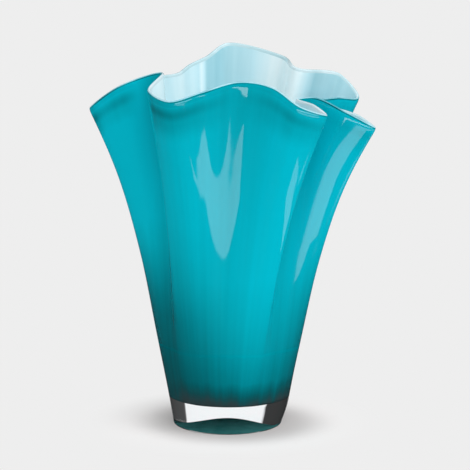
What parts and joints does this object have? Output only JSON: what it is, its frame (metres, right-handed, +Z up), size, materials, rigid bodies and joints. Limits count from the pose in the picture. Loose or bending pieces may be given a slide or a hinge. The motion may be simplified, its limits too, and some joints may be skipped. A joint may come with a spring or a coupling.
{
  "type": "art glass vase",
  "caption": "Tall trumpet vase in cased teal glass with a pale lining, a wavy rim folded into deep lobes, and a thick clear round foot.",
  "frame": {"origin": "middle of the foot's flat underside, on the axis of the round foot", "axes": "+Z up along the foot's axis to the mouth; +X towards the long narrow lobe; the picture looks along +Y"},
  "size_m": [0.239, 0.219, 0.3066],
  "materials": {
    "cased_glass": "polished teal glass over a pale blue-white lining, with a clear foot"
  },
  "bodies": {
    "root": {"vase": "cased_glass"}
  },
  "joints": []
}
